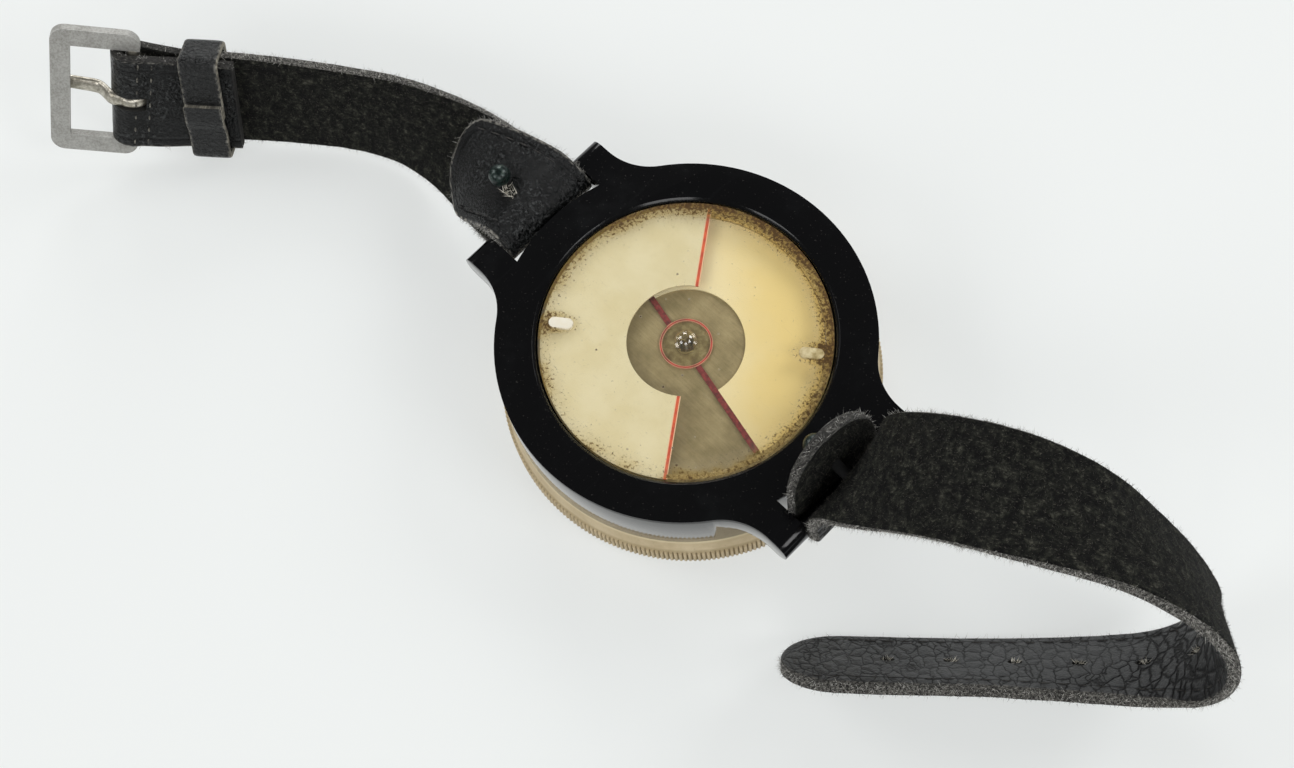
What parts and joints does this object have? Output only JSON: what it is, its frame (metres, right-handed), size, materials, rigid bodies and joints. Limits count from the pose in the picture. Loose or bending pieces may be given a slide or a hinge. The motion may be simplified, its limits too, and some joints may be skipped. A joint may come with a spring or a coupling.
{
  "type": "wrist compass",
  "caption": "Liquid-filled compass for the wrist with a turning fluted bezel, a floating half-coloured card and two leather straps, lying face down.",
  "frame": {"origin": "centre of the bezel's front face, which the compass lies on", "axes": "+Z along the compass axis towards the back of the housing, +X towards the strap with holes, -X towards the strap with the buckle"},
  "size_m": [0.2083, 0.0778, 0.0494],
  "materials": {
    "bakelite": "black moulded resin, worn to a satin sheen",
    "bezel_plastic": "tan moulded plastic, fluted",
    "barrel_plastic": "dark moulded plastic",
    "clear_plastic": "clear plastic, slightly yellowed",
    "seal": "perished brown seal",
    "cream": "cream inlay",
    "orange_red": "orange-red line",
    "ivory": "ivory peg",
    "yellow": "pale yellow inlay",
    "dark_red": "dark red line",
    "spring_steel": "bright",
    "brass": "turned",
    "jewel": "polished",
    "magnet_steel": "rusted",
    "leather": "black grain outside, charcoal suede inside",
    "stud_metal": "green-black lacquer",
    "buckle_alloy": "matt grey",
    "prong_steel": "worn plating"
  },
  "bodies": {
    "housing": {"housing": "bakelite", "retaining_ring": "spring_steel"},
    "capsule": {"bezel_ring": "bezel_plastic", "capsule_barrel": "barrel_plastic", "front_crystal": "clear_plastic", "crystal_seal": "seal", "back_window": "clear_plastic", "window_seal": "seal", "course_half": "cream", "course_line": "orange_red", "window_pegs": "ivory", "pivot_pin": "spring_steel"},
    "card": {"card_disc": "clear_plastic", "card_half": "yellow", "card_line": "dark_red", "card_hub": "brass", "card_jewel": "jewel", "card_magnet": "magnet_steel"},
    "buckle_strap": {"buckle_strap": "leather", "buckle_strap_stud": "stud_metal"},
    "keeper": {"strap_keeper": "leather"},
    "buckle": {"buckle_frame": "buckle_alloy", "buckle_bar": "prong_steel"},
    "prong": {"buckle_prong": "prong_steel"},
    "hole_strap": {"hole_strap": "leather", "hole_strap_stud": "stud_metal"}
  },
  "joints": [
    {"name": "bezel_turn", "type": "hinge", "parent": "housing", "child": "capsule", "pos_m": [0, 0, 0.008], "axis": [0, 0, 1], "continuous": true},
    {"name": "card_turn", "type": "hinge", "parent": "capsule", "child": "card", "pos_m": [0, 0, 0.0121], "axis": [0, 0, 1], "continuous": true},
    {"name": "buckle_strap_swing", "type": "hinge", "parent": "housing", "child": "buckle_strap", "pos_m": [-0.0338, 0, 0.0167], "axis": [0, 1, 0], "range_deg": [-50, 85]},
    {"name": "keeper_slide", "type": "slide", "parent": "buckle_strap", "child": "keeper", "axis": [-0.7474, -0.6605, 0.0721], "range_m": [-0.003, 0.001]},
    {"name": "buckle_swing", "type": "hinge", "parent": "buckle_strap", "child": "buckle", "pos_m": [-0.10198, -0.0319, 0.0134], "axis": [-0.1361, 0.4943, 0.8586], "range_deg": [-40, 70]},
    {"name": "prong_swing", "type": "hinge", "parent": "buckle", "child": "prong", "pos_m": [-0.10198, -0.0319, 0.0134], "axis": [0.1361, -0.4943, -0.8586], "range_deg": [0, 60]},
    {"name": "hole_strap_swing", "type": "hinge", "parent": "housing", "child": "hole_strap", "pos_m": [0.0338, 0, 0.0167], "axis": [0, 1, 0], "range_deg": [-5, 55]}
  ]
}
